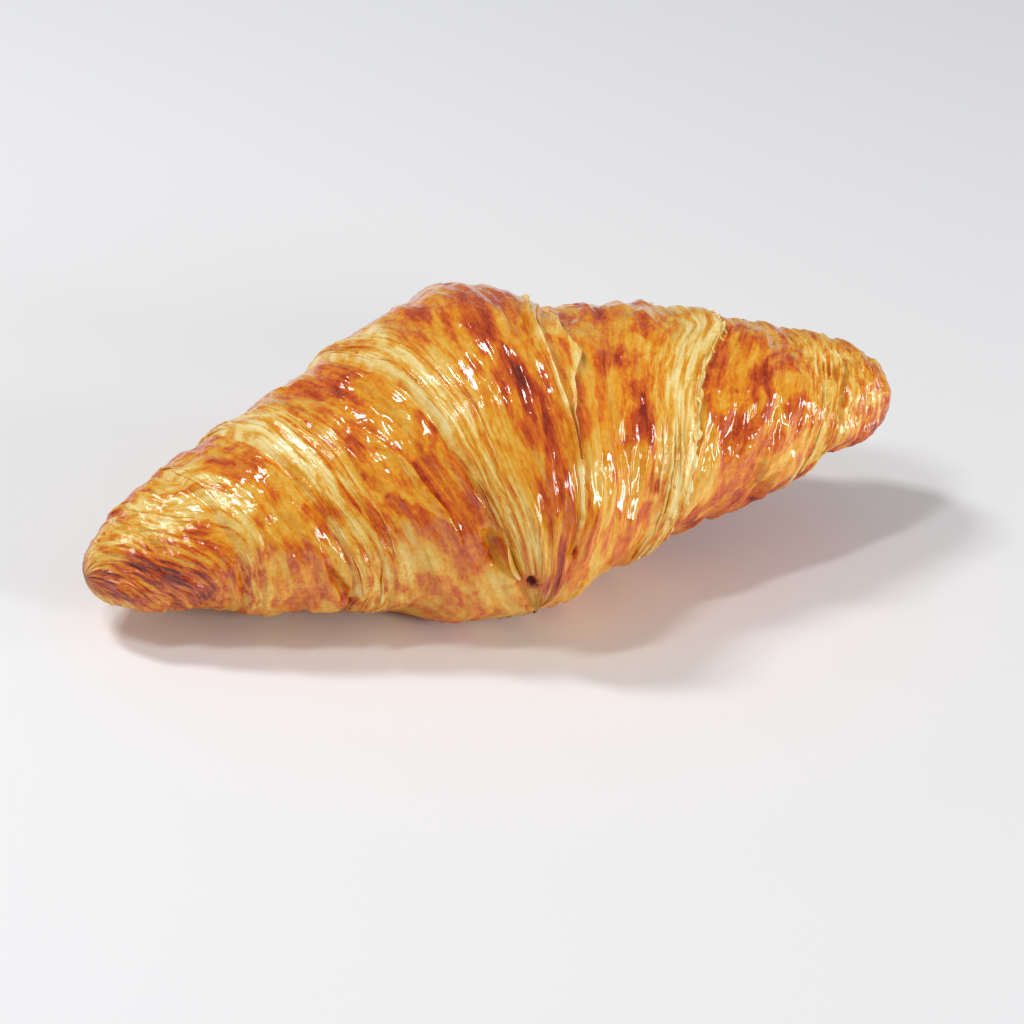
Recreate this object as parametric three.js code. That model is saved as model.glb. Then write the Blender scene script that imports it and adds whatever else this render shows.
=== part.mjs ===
// A straight butter croissant: one long triangle of laminated dough, rolled up from its base to its point and baked.
// Millimetres, +Z up. X runs along the roll, -Y is the front, and the origin is at the middle of the flat base.
// Angles go round the roll in degrees: 0 at the front, 90 at the top, 180 at the back, -90 underneath.

import * as THREE from "three";

// Driving sizes.
const LENGTH = 160;
const CORE_RADII = [10, 14, 19, 22.5, 29.5, 33, 26, 23, 19.5, 13.5, 12]; // at even steps from the left end to the right
const AXIS_HEIGHTS = [12.2, 22, 25.8]; // of the roll's axis at the left end, the middle and the right end
const AXIS_SWAYS = [3.2, 0.5, -8.2]; // the same for how far the axis lies to the back
const TOP_SQUASH = 0.88; // heights over widths, above the axis and below it
const UNDER_SQUASH = 0.76;
const END_BLUNTNESS = 12; // a higher power gives a blunter end
const BASE_ROUNDING = 2.2; // where the sides curve into the flat base

// Where the two long edges of the dough triangle lie on the roll, as [degrees rolled back from its point, mm out from
// the middle]. Each full turn is one wrap, and the edges part from the point, which is tucked under the front, a little
// left of the middle.
const LEFT_EDGE = [
  [-30, 4.5], [0, 11.5], [90, 24], [180, 30], [270, 34], [360, 38.5], [450, 48], [540, 52], [630, 54],
  [720, 55.5], [810, 61.5], [900, 64.5], [990, 66], [1080, 68], [1170, 71.5], [1350, 76],
];
const RIGHT_EDGE = [
  [-30, -3.5], [0, -1.5], [15, 0.3], [45, 2], [60, 3], [75, 4.8], [90, 7.5], [105, 11.5], [180, 19], [270, 21.5],
  [330, 22.5], [360, 25.4], [405, 31.3], [421, 35], [435, 40], [450, 44.5], [540, 50], [630, 54], [720, 60.5],
  [810, 69.5], [900, 71.5], [990, 73], [1080, 74.5], [1350, 79],
];

// The wraps from the outermost inwards, as [the height of the wrap's edge, how wide its cut face is at the front and at
// the top of the roll, how far its torn lip stands up].
const LEFT_WRAPS = [[6.4, 5.5, 9, 0], [3.8, 10, 11, 0], [4.4, 4, 5, 0], [1.6, 3, 4, 0]];
const RIGHT_WRAPS = [[6.4, 2.4, 5.5, 0.8], [4.4, 7.5, 12, 0], [3.6, 7, 9, 0], [1.2, 3, 3, 0]];
const POINT_TAPER = 60; // degrees of roll over which the outermost wrap thickens from its point
const LIP_WIDTH = 1.4;
const SETTLE = 0.8; // the share of its height that a wrap loses away from its puffed edge
const SETTLE_LENGTH = 9;
const LEAVES = 3; // leaves of dough that stand out as ridges on a cut face
const LEAF_RELIEF = 0.4;

// Slow swells of the crust: height, waves along the roll, waves round it, and a shift of the pattern.
const SWELLS = [
  { height: 0.5, along: 3, round: 2, shift: 0.4 },
  { height: 0.4, along: 5, round: -3, shift: 2.1 },
  { height: 0.3, along: 9, round: 4, shift: 4.0 },
  { height: 0.25, along: 13, round: -5, shift: 1.3 },
];

// How finely the surface is cut into triangles.
const STATIONS = 90;
const SPOKES = 50;
const MAIN_SHARE = 0.9; // of the length, in even stations; the rounded ends take the rest
const END_RINGS = 6;

const radians = THREE.MathUtils.degToRad;
const clamp = THREE.MathUtils.clamp;

// A smooth curve through [place, value] pairs that never overshoots them.
function curveThrough(pairs) {
  const slopes = pairs.slice(1).map(([place, value], i) => (value - pairs[i][1]) / (place - pairs[i][0]));
  const tangents = pairs.map((_, i) => {
    const before = slopes[i - 1] ?? slopes[i];
    const after = slopes[i] ?? slopes[i - 1];
    return before * after <= 0 ? 0 : (2 * before * after) / (before + after);
  });
  return (place) => {
    let i = pairs.length - 2;
    while (i > 0 && place < pairs[i][0]) i -= 1;
    const span = pairs[i + 1][0] - pairs[i][0];
    const t = clamp((place - pairs[i][0]) / span, 0, 1);
    return (
      pairs[i][1] * (1 + 2 * t) * (1 - t) ** 2 +
      pairs[i + 1][1] * (3 - 2 * t) * t ** 2 +
      span * t * (1 - t) * (tangents[i] * (1 - t) - tangents[i + 1] * t)
    );
  };
}

// The same through values at even steps from the left end to the right.
function curveAlong(values) {
  return curveThrough(values.map((value, i) => [(i / (values.length - 1) - 0.5) * LENGTH, value]));
}

const coreRadius = curveAlong(CORE_RADII);
const leftEdge = curveThrough(LEFT_EDGE);
const rightEdge = curveThrough(RIGHT_EDGE);

// A parabola through a value at the left end, the middle and the right end.
function bow([left, middle, right], x) {
  const u = (2 * x) / LENGTH;
  return middle + ((right - left) / 2) * u + ((right + left) / 2 - middle) * u ** 2;
}

// The sizes of a wrap's edge, which pass into those of the next wrap as the dough rolls on.
function edgeSizes(wraps, rolled) {
  const turns = clamp((rolled - 90) / 360, 0, wraps.length - 1);
  const outer = wraps[Math.floor(turns)];
  const inner = wraps[Math.ceil(turns)];
  return outer.map((size, i) => size + (inner[i] - size) * (turns % 1));
}

// The thickness of one wrap, a distance inside its edge: it climbs the cut face, ridged by the leaves of dough,
// to the puffed edge or lip, and then settles.
function wrapThickness(inside, [height, faceFront, faceTop, lip], angle) {
  if (inside <= 0) return 0;
  const topness = Math.max(Math.sin(radians(angle)), 0) ** 2;
  const face = faceFront + (faceTop - faceFront) * topness;
  const climbed = Math.min(inside / face, 1);
  const climb = 1 - (1 - climbed) ** 2;
  const ridges = climbed < 1 ? LEAF_RELIEF * Math.sin(2 * Math.PI * LEAVES * climbed) : 0;
  const settled = 1 - Math.exp(-Math.max(inside - face, 0) / SETTLE_LENGTH);
  const stand = lip * Math.exp(-(((inside - face) / LIP_WIDTH) ** 2));
  return height * (climb - SETTLE * settled) + ridges + stand;
}

// All the wraps that cover a place on the roll.
function wrapsOver(x, angle) {
  let thickness = 0;
  for (let turn = 0; turn < LEFT_WRAPS.length; turn += 1) {
    const rolled = angle + 360 * turn;
    const fromPoint = rolled - LEFT_EDGE[0][0];
    if (fromPoint <= 0) continue;
    const fromLeft = wrapThickness(x + leftEdge(rolled), edgeSizes(LEFT_WRAPS, rolled), angle);
    const fromRight = wrapThickness(rightEdge(rolled) - x, edgeSizes(RIGHT_WRAPS, rolled), angle);
    thickness += Math.min(fromLeft, fromRight) * (1 - Math.exp(-fromPoint / POINT_TAPER));
  }
  return thickness;
}

function swell(x, angle) {
  const along = (2 * Math.PI * x) / LENGTH;
  return SWELLS.reduce(
    (sum, s) => sum + s.height * Math.sin(s.along * along + s.round * radians(angle) + s.shift),
    0,
  );
}

// Lays anything near or below the table flat on it.
function onTable(z) {
  if (z >= BASE_ROUNDING) return z;
  return Math.max(z + BASE_ROUNDING, 0) ** 2 / (4 * BASE_ROUNDING);
}

function crustPoint(x, angle) {
  const rounding = Math.sqrt(Math.max(1 - Math.abs((2 * x) / LENGTH) ** END_BLUNTNESS, 0));
  const radius = (coreRadius(x) + wrapsOver(x, angle) + swell(x, angle)) * rounding;
  const up = Math.sin(radians(angle));
  const y = bow(AXIS_SWAYS, x) - radius * Math.cos(radians(angle));
  const z = bow(AXIS_HEIGHTS, x) + radius * up * (up > 0 ? TOP_SQUASH : UNDER_SQUASH);
  return new THREE.Vector3(x, y, onTable(z));
}

// The x of every ring of points: even ones, and closer ones round each end.
function ringPlaces() {
  const half = LENGTH / 2;
  const main = Array.from({ length: STATIONS + 1 }, (_, i) => ((2 * i) / STATIONS - 1) * half * MAIN_SHARE);
  const first = Math.asin(MAIN_SHARE ** (END_BLUNTNESS / 2));
  const end = Array.from({ length: END_RINGS }, (_, i) => {
    const turn = first + ((Math.PI / 2 - first) * (i + 1)) / (END_RINGS + 1);
    return half * Math.sin(turn) ** (2 / END_BLUNTNESS);
  });
  return [...end.map((x) => -x).reverse(), ...main, ...end];
}

function crustGeometry() {
  const places = ringPlaces();
  const points = [crustPoint(-LENGTH / 2, 0)];
  for (const x of places) {
    for (let spoke = 0; spoke < SPOKES; spoke += 1) {
      points.push(crustPoint(x, -90 + (360 * spoke) / SPOKES));
    }
  }
  points.push(crustPoint(LENGTH / 2, 0));

  const at = (ring, spoke) => 1 + ring * SPOKES + (spoke % SPOKES);
  const lastRing = places.length - 1;
  const faces = [];
  for (let spoke = 0; spoke < SPOKES; spoke += 1) {
    faces.push(0, at(0, spoke), at(0, spoke + 1));
    for (let ring = 0; ring < lastRing; ring += 1) {
      faces.push(at(ring, spoke), at(ring + 1, spoke), at(ring + 1, spoke + 1));
      faces.push(at(ring, spoke), at(ring + 1, spoke + 1), at(ring, spoke + 1));
    }
    faces.push(at(lastRing, spoke), points.length - 1, at(lastRing, spoke + 1));
  }

  const geometry = new THREE.BufferGeometry().setFromPoints(points);
  geometry.setIndex(faces);
  geometry.computeVertexNormals();
  return geometry;
}

// The crust: egg-washed and baked golden brown.
const crust = new THREE.MeshStandardMaterial({ color: 0xd98a35, roughness: 0.4, metalness: 0 });

const croissant = new THREE.Mesh(crustGeometry(), crust);
croissant.name = "croissant";

const group = new THREE.Group();
group.add(croissant);
export default group;
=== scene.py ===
"""A straight butter croissant, egg-washed and baked golden brown, on a pale studio floor."""

import math

import bpy
import numpy as np
from mathutils import Matrix, Vector


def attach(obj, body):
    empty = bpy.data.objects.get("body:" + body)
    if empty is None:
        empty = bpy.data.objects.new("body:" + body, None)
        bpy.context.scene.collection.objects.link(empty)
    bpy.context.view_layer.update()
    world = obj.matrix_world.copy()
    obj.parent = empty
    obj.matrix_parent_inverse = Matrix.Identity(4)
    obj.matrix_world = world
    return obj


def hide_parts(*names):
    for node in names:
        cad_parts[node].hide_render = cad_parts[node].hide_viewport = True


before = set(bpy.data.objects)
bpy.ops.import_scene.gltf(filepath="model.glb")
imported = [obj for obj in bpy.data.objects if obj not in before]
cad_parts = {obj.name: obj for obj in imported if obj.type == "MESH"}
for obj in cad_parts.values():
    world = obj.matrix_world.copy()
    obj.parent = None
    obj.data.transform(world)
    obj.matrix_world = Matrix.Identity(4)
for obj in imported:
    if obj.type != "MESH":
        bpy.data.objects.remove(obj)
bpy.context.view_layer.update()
scene = bpy.context.scene
mm = 0.001


# The camera: a long lens at the front left, about 34 degrees above the floor and a little out of level, as a food
# photographer frames one croissant. Its place is worked out from the middle of the base.
azimuth = math.radians(-29.67)
elevation = math.radians(33.86)
roll = math.radians(5.35)
distance = 729.66 * mm
shift_right = -5.2 * mm
shift_up = -8.1 * mm

back = Vector((math.sin(azimuth) * math.cos(elevation), -math.cos(azimuth) * math.cos(elevation), math.sin(elevation)))
right = Vector((math.cos(azimuth), math.sin(azimuth), 0))
up = back.cross(right)
right, up = (
    right * math.cos(roll) + up * math.sin(roll),
    up * math.cos(roll) - right * math.sin(roll),
)
camera_data = bpy.data.cameras.new("camera")
camera_data.lens = 134.93
camera_data.sensor_width = 36
camera_data.clip_start = 0.05
camera = bpy.data.objects.new("camera", camera_data)
turn = Matrix((right, up, back)).transposed()
camera.matrix_world = Matrix.Translation(back * distance - right * shift_right - up * shift_up) @ turn.to_4x4()
scene.collection.objects.link(camera)
scene.camera = camera
scene.view_settings.view_transform = "Standard"
scene.view_settings.look = "None"


# The studio: a plain pale floor, a white surround and four soft boxes. The key light is high at the back left, so that
# shadows fall to the front right, with a narrow strip beside it, a tall window at the front right and a low one at
# the right.
def soft_box(name, place, aim, size, watts):
    data = bpy.data.lights.new(name, "AREA")
    data.shape = "RECTANGLE"
    data.size, data.size_y = size
    data.energy = watts
    lamp = bpy.data.objects.new(name, data)
    lamp.location = place
    lamp.rotation_euler = (Vector(aim) - Vector(place)).to_track_quat("-Z", "Y").to_euler()
    scene.collection.objects.link(lamp)


subject = (0, 0, 0.02)
soft_box("key_light", (-0.34, 0.28, 0.67), subject, (0.1, 0.17), 2.5)
soft_box("top_strip", (-0.37, -0.03, 0.66), subject, (0.05, 0.18), 1.3)
soft_box("front_window", (0.38, -0.80, 0.34), subject, (0.12, 0.28), 2.8)
soft_box("side_window", (0.72, -0.38, 0.16), subject, (0.1, 0.22), 1.9)

surround = bpy.data.worlds.new("surround")
surround.use_nodes = True
background = surround.node_tree.nodes["Background"]
background.inputs["Color"].default_value = (1, 0.99, 0.98, 1)
background.inputs["Strength"].default_value = 0.28
scene.world = surround

floor_mesh = bpy.data.meshes.new("floor")
floor_mesh.from_pydata([(-3, -3, 0), (3, -3, 0), (3, 3, 0), (-3, 3, 0)], [], [(0, 1, 2, 3)])
floor = bpy.data.objects.new("floor", floor_mesh)
scene.collection.objects.link(floor)
floor_paint = bpy.data.materials.new("pale_floor")
floor_paint.use_nodes = True
paint = floor_paint.node_tree.nodes["Principled BSDF"]
paint.inputs["Base Color"].default_value = (0.9, 0.91, 0.93, 1)
paint.inputs["Roughness"].default_value = 0.6
floor_mesh.materials.append(floor_paint)


# The roll: one long triangle of dough, folded with butter and rolled up from its base to its point, which is tucked
# under the front. Each turn is a wrap that steps up over the one before, with a pale cut face of leaves of dough at
# its edge and a browned, egg-washed skin inside it. Sizes are in millimetres and angles in degrees round the roll:
# 0 at the front, 90 at the top, 180 at the back, -90 underneath.
length = 160
core_radii = [10, 14, 19, 22.5, 29.5, 33, 26, 23, 19.5, 13.5, 12]  # at even steps from the left end to the right
axis_heights = (12.2, 22, 25.8)  # of the roll's axis at the left end, the middle and the right end
axis_sways = (3.2, 0.5, -8.2)  # the same for how far the axis lies to the back
mean_radius = 25
top_squash = 0.88  # heights over widths, above the axis and below it
under_squash = 0.76
end_bluntness = 12  # a higher power gives a blunter end
base_rounding = 2.2  # where the sides curve into the flat base
# How high each slow swell of the crust is, its waves along the roll and round it, and a shift.
swells = [(0.5, 3, 2, 0.4), (0.4, 5, -3, 2.1), (0.3, 9, 4, 4.0), (0.25, 13, -5, 1.3)]

# Where the long edges of the triangle lie, as (degrees rolled back from its point, mm out from the middle).
left_edge = [
    (-30, 4.5), (0, 11.5), (90, 24), (180, 30), (270, 34), (360, 38.5), (450, 48), (540, 52), (630, 54),
    (720, 55.5), (810, 61.5), (900, 64.5), (990, 66), (1080, 68), (1170, 71.5), (1350, 76),
]
right_edge = [
    (-30, -3.5), (0, -1.5), (15, 0.3), (45, 2), (60, 3), (75, 4.8), (90, 7.5), (105, 11.5), (180, 19), (270, 21.5),
    (330, 22.5), (360, 25.4), (405, 31.3), (421, 35), (435, 40), (450, 44.5), (540, 50), (630, 54), (720, 60.5),
    (810, 69.5), (900, 71.5), (990, 73), (1080, 74.5), (1350, 79),
]
# For each wrap from the outermost: the height of its edge, how wide its cut face is at the front and at the top,
# and how far its torn lip stands up.
left_wraps = np.array([(6.4, 5.5, 9, 0), (3.8, 10, 11, 0), (4.4, 4, 5, 0), (1.6, 3, 4, 0)])
right_wraps = np.array([(6.4, 2.4, 5.5, 0.8), (4.4, 7.5, 12, 0), (3.6, 7, 9, 0), (1.2, 3, 3, 0)])
point_taper = 60  # degrees over which the outermost wrap thickens from its point
lip_width = 1.4
settle = 0.8  # the share of its height that a wrap loses away from its puffed edge
settle_length = 9
ragged = 0.55  # how far a torn edge wanders
# How pale each wrap's cut face stays, and the share of its width that is pale.
left_pale = np.array([(0.76, 0.95), (1, 1.05), (0.6, 0.8), (0.55, 0.8), (0.4, 1)])
right_pale = np.array([(1, 0.6), (1, 0.95), (0.7, 0.9), (0.4, 0.9), (0.4, 1)])
# Where the edges of the wraps usually lie, from before the outermost inwards.
left_usual = np.array([20, 20, 43, 58, 67, 77, 78])
right_usual = np.array([5, 5, 33, 60, 72, 78, 79])
no_edge = 99.0  # the distance that stands for an edge which isn't there


def curve_through(pairs, place):
    """A smooth curve through (place, value) pairs that never overshoots them."""
    places, values = np.array(pairs, float).T
    slopes = np.diff(values) / np.diff(places)
    before, after = np.r_[slopes[0], slopes], np.r_[slopes, slopes[-1]]
    with np.errstate(divide="ignore", invalid="ignore"):
        tangents = np.where(before * after <= 0, 0, 2 * before * after / (before + after))
    i = np.clip(np.searchsorted(places, place, side="right") - 1, 0, len(slopes) - 1)
    span = places[i + 1] - places[i]
    t = np.clip((place - places[i]) / span, 0, 1)
    return (
        values[i] * (1 + 2 * t) * (1 - t) ** 2
        + values[i + 1] * (3 - 2 * t) * t**2
        + span * t * (1 - t) * (tangents[i] * (1 - t) - tangents[i + 1] * t)
    )


def bow(left_middle_right, x):
    """A parabola through a value at the left end, the middle and the right end."""
    left, middle, right = left_middle_right
    u = 2 * x / length
    return middle + (right - left) / 2 * u + ((right + left) / 2 - middle) * u**2


def lumps(points, size, seed):
    """Smooth random lumps of one size, from -1 to 1."""
    cells = np.asarray(points) / size
    corner = np.floor(cells).astype(np.int64)
    f = cells - corner
    f = f * f * (3 - 2 * f)
    total = 0
    # The eight corners of each cell have fixed values, from a hash of the corner's place and the seed.
    for dx in (0, 1):
        for dy in (0, 1):
            for dz in (0, 1):
                cell = corner + (dx, dy, dz)
                h = cell[..., 0] * 73856093 ^ cell[..., 1] * 19349663 ^ cell[..., 2] * 83492791
                h = (h ^ (seed * 2654435761)) & 0xFFFFFFFF
                h = ((h ^ (h >> 15)) * 2246822519) & 0xFFFFFFFF
                h = ((h ^ (h >> 13)) * 3266489917) & 0xFFFFFFFF
                value = ((h ^ (h >> 16)) & 0xFFFF) / 32767.5 - 1
                weight = (f[..., 0] if dx else 1 - f[..., 0]) * (f[..., 1] if dy else 1 - f[..., 1])
                total = total + value * weight * (f[..., 2] if dz else 1 - f[..., 2])
    return total


def blend(low, high, x):
    """0 before low and 1 past high, with a smooth step between."""
    t = np.clip((x - low) / (high - low), 0, 1)
    return t * t * (3 - 2 * t)


def along_edge(rolled):
    """Places along an edge as points, for lumps that follow it."""
    return np.stack([np.radians(rolled) * mean_radius, 0 * rolled, 0 * rolled], -1)


def torn(rolled, seed):
    """How far a torn edge wanders."""
    along = along_edge(rolled)
    return ragged * (lumps(along, 9, seed) + 0.25 * lumps(along, 3.5, seed + 1))


def left_of(rolled):
    return curve_through(left_edge, rolled) + torn(rolled, 3)


def right_of(rolled):
    return curve_through(right_edge, rolled) + torn(rolled, 5)


def edge_sizes(wraps, rolled):
    """The sizes of a wrap's edge, which pass into those of the next wrap as the dough rolls on."""
    turns = np.clip((rolled - 90) / 360, 0, len(wraps) - 1)
    outer, inner = np.floor(turns).astype(int), np.ceil(turns).astype(int)
    sizes = wraps[outer] + (wraps[inner] - wraps[outer]) * (turns - outer)[..., None]
    return sizes[..., 0], sizes[..., 1], sizes[..., 2], sizes[..., 3]


def face_width(wraps, rolled, angle):
    _, face_front, face_top, _ = edge_sizes(wraps, rolled)
    return face_front + (face_top - face_front) * np.maximum(np.sin(np.radians(angle)), 0) ** 2


def wrap_thickness(inside, wraps, rolled, angle):
    """The thickness of one wrap, a distance inside its edge."""
    height, _, _, lip = edge_sizes(wraps, rolled)
    face = face_width(wraps, rolled, angle)
    climbed = np.clip(inside / face, 0, 1)
    settled = 1 - np.exp(-np.maximum(inside - face, 0) / settle_length)
    stand = lip * np.exp(-(((inside - face) / lip_width) ** 2))
    return np.where(inside <= 0, 0, height * (1 - (1 - climbed) ** 2 - settle * settled) + stand)


def roll_fields(x, angle):
    """What lies at a place on the roll: its radius, and how far it is inside its wrap's edge."""
    thickness = 0
    edges = []
    for number in range(len(left_wraps)):
        rolled = angle + 360 * number
        from_point = rolled - left_edge[0][0]
        from_left = x + left_of(rolled)
        from_right = right_of(rolled) - x
        here = from_point > 0
        edges.append((np.where(here, from_left, -no_edge), np.where(here, from_right, -no_edge), rolled))
        both = np.minimum(
            wrap_thickness(from_left, left_wraps, rolled, angle),
            wrap_thickness(from_right, right_wraps, rolled, angle),
        )
        thickness = thickness + np.where(here, both * (1 - np.exp(-np.maximum(from_point, 0) / point_taper)), 0)

    # The wrap that shows, how far inside its own edge, and how far out from the edge that lies over it.
    shape = np.broadcast(x, angle).shape
    wrap = np.full(shape, len(left_wraps))
    on_left = x < 0
    inside = np.where(on_left, x + length / 2, length / 2 - x)
    face = np.full(shape, 3.0)  # for the core, which has no wrap's edge
    for number in reversed(range(len(left_wraps))):
        from_left, from_right, rolled = edges[number]
        covered = (from_left > 0) & (from_right > 0)
        near_left = from_left < from_right
        wrap = np.where(covered, number, wrap)
        inside = np.where(covered, np.minimum(from_left, from_right), inside)
        width = np.where(near_left, face_width(left_wraps, rolled, angle), face_width(right_wraps, rolled, angle))
        face = np.where(covered, width, face)
        on_left = np.where(covered, near_left, on_left)
    over = np.full(shape, no_edge)
    for number in range(len(left_wraps)):
        from_left, from_right, rolled = edges[number]
        exists = (wrap == number + 1) & (from_left > -no_edge)
        over = np.where(exists, np.where(on_left, -from_left, -from_right), over)
    steps = len(core_radii) - 1
    core = curve_through([((i / steps - 0.5) * length, r) for i, r in enumerate(core_radii)], x)
    swell = sum(h * np.sin(a * 2 * np.pi * x / length + r * np.radians(angle) + s) for h, a, r, s in swells)
    return {
        "radius": core + thickness + swell, "wrap": wrap, "inside": inside, "over": np.maximum(over, 0),
        "face": face, "on_left": on_left,
    }


def roll_point(x, angle, radius):
    """A place on the roll as x, y and z, laid flat where it meets the floor."""
    rounding = np.sqrt(np.maximum(1 - np.abs(2 * x / length) ** end_bluntness, 0))
    rise = np.sin(np.radians(angle))
    y = bow(axis_sways, x) - radius * rounding * np.cos(np.radians(angle))
    z = bow(axis_heights, x) + radius * rounding * rise * np.where(rise > 0, top_squash, under_squash)
    z = np.where(z >= base_rounding, z, np.maximum(z + base_rounding, 0) ** 2 / (4 * base_rounding))
    return np.stack([x + 0 * y, y, z], -1)


# The grid of points: even rings, closer ones round each end, and spokes.
stations = 490
end_rings = 11
main_share = 0.93  # of the length, in even rings
half = length / 2
main = np.linspace(-main_share, main_share, stations) * half
first = math.asin(main_share ** (end_bluntness / 2))
end_turn = first + (math.pi / 2 - first) * np.arange(1, end_rings + 1) / (end_rings + 1)
end = half * np.sin(end_turn) ** (2 / end_bluntness)
places = np.r_[-end[::-1], main, end]
fine_step, wide_step = 1.6, 3.2  # degrees between spokes, where the crust is seen and underneath
angles = np.r_[np.arange(-90, -42, wide_step), np.arange(-42, 190, fine_step), np.arange(190, 269, wide_step)]
x, angle = np.meshgrid(places, angles, indexing="ij")
roll_map = roll_fields(x, angle)
wrap, inside, over, face = roll_map["wrap"], roll_map["inside"], roll_map["over"], roll_map["face"]
cos, sin = np.cos(np.radians(angle)), np.sin(np.radians(angle))


def grain_across(x, angle):
    """A distance across the dough's grain, which runs round the roll along the edges of its wraps."""
    point = left_edge[0][0]
    edges_here, grain_here = [np.full(angle.shape, -half)], [np.full(angle.shape, -half)]
    for edge, usual, way in ((left_of, left_usual, -1), (right_of, right_usual, 1)):
        found = []
        for number in range(len(left_wraps)):
            rolled = angle + 360 * number
            turns = (rolled + 45) / 360
            whole = np.floor(turns).astype(int)
            to_next = blend(0.75, 1, turns - whole)  # over the last quarter of each turn
            steady = usual[whole + 1] + (usual[whole + 2] - usual[whole + 1]) * to_next
            at = edge(np.maximum(rolled, point))
            at = np.where(rolled < point, at + (steady - at) * blend(point, point - 60, rolled), at)
            found.append((way * at, way * steady))
        for at, steady in (reversed(found) if way < 0 else found):
            edges_here.append(at)
            grain_here.append(steady)
    edges_here.append(np.full(angle.shape, half))
    grain_here.append(np.full(angle.shape, half))
    across = np.full(np.broadcast(x, angle).shape, -half)
    for i in range(len(edges_here) - 1):
        low, high = edges_here[i], edges_here[i + 1]
        share = np.clip((x - low) / np.maximum(high - low, 0.05), 0, 1)
        across = np.where(x > low, grain_here[i] + (grain_here[i + 1] - grain_here[i]) * share, across)
    # At the left tip the dough was rolled on a slant.
    return across + 9 * np.sin(np.radians(angle - 30)) * blend(-52, -66, x)


def grain_of(x, angle):
    """A place on the roll as the grain has it, for lumps and streaks that follow the dough."""
    turned = np.radians(angle)
    return np.stack([grain_across(x, angle), mean_radius * np.cos(turned), mean_radius * np.sin(turned)], -1)


def streaks_on(grain, stretch, size, seed):
    """Lumps drawn out along the grain. The smaller the stretch, the longer they are."""
    return lumps(grain * (1, stretch, stretch), size, seed)


# How much of a cut face, and not of skin, each place shows.
grain = grain_of(x, angle)
paleness = np.where(roll_map["on_left"][..., None], left_pale[wrap], right_pale[wrap])
pale, reach = paleness[..., 0], paleness[..., 1]
streaky = streaks_on(grain, 0.12, 2.2, 11) + 0.6 * streaks_on(grain, 0.12, 0.9, 12)
on_face = 1 - blend(0.55, 1.45, inside / (face * reach) + 0.3 * streaky)
on_face = np.maximum(on_face, blend(0.9, 0, over))
on_face = on_face * np.where((wrap == 0) & (angle < 90), blend(-12, 8, angle), 1)
# Towards the ends the wraps lie close, and mostly their cut faces show.
right_end = blend(58, 66, x)
left_end = blend(-54, -64, x)
on_face = np.maximum(on_face, np.maximum(0.75 * right_end, 0.8 * left_end))
# Near an edge the relief dies away, so that the edge stays clean.
calm_width = 1.1
edge_calm = np.exp(-((np.minimum(inside, over) / calm_width) ** 2))

# The relief, in mm: leaves on the cut faces, blisters low on the front, streaks and lumps at the ends, and a crease
# along each edge.
leaf_spacing, leaf_relief, fine_leaf_relief = 1.9, 0.3, 0.16
blister_relief, streak_relief, lump_relief = 0.22, 0.22, 0.7
crease_width, crease_depth = 0.8, 0.55
radius = roll_map["radius"]
leaf_warp = lumps(grain * (0.5, 0.25, 0.25), 4, 21)
leaves = np.abs(((inside / leaf_spacing + 0.8 * leaf_warp) % 1) * 2 - 1) ** 1.5 - 0.4
fine_leaves = streaks_on(grain, 0.07, 0.8, 22)
radius = radius + on_face * (1 - edge_calm) * (leaf_relief * leaves + fine_leaf_relief * fine_leaves)
end_streaks = streaks_on(grain, 0.07, 1.9, 23) + 0.6 * streaks_on(grain, 0.1, 0.9, 24)
end_lumps = streaks_on(grain, 0.6, 4, 25)
blisters = lumps(np.stack([x, mean_radius * cos, mean_radius * sin], -1), 2.2, 26)
radius = radius + blister_relief * blend(10, -15, angle) * (angle > -70) * blisters
radius = radius + streak_relief * end_streaks * np.maximum(left_end, right_end) + lump_relief * right_end * end_lumps
crease = np.maximum(np.exp(-((over / crease_width) ** 2)), np.exp(-((inside / (0.5 * crease_width)) ** 2)))
radius = radius - crease_depth * crease

# Where a puffed sheet of skin ends on the next: its line from one x and angle to another, how high it stands, and the
# side of the line that it lies on. The foot of its step is coloured darker, browner crust and painted shade in the
# crevice.
torn_sheets = [
    (-30.5, 70, -20.5, 13, 1.7, -1), (-54, 54, -48, 14, 0.9, -1), (20, 92, 19, 30, 0.5, 1), (52, 88, 44, 20, 0.5, 1),
    (-3, 88, -6, 40, 0.6, 1), (11, 52, 9, 8, 0.6, -1),
]
sheet_foot_bake_and_shade = 0
for x0, a0, x1, a1, height, side in torn_sheets:
    t = (angle - a0) / (a1 - a0)
    off = side * (x - (x0 + (x1 - x0) * t) - 0.7 * lumps(grain, 6, 31))
    on_line = blend(-0.15, 0.2, t) * (1 - blend(0.8, 1.1, t))
    radius = radius + height * on_line * blend(-0.5, 0.35, off) * np.exp(-np.maximum(off, 0) / 4)
    # A darker line at the foot of the step: browner crust and painted shade in the crevice.
    sheet_foot_bake_and_shade = sheet_foot_bake_and_shade + 0.15 * height * on_line * np.exp(-(((off + 0.8) / 0.7) ** 2))

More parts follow.
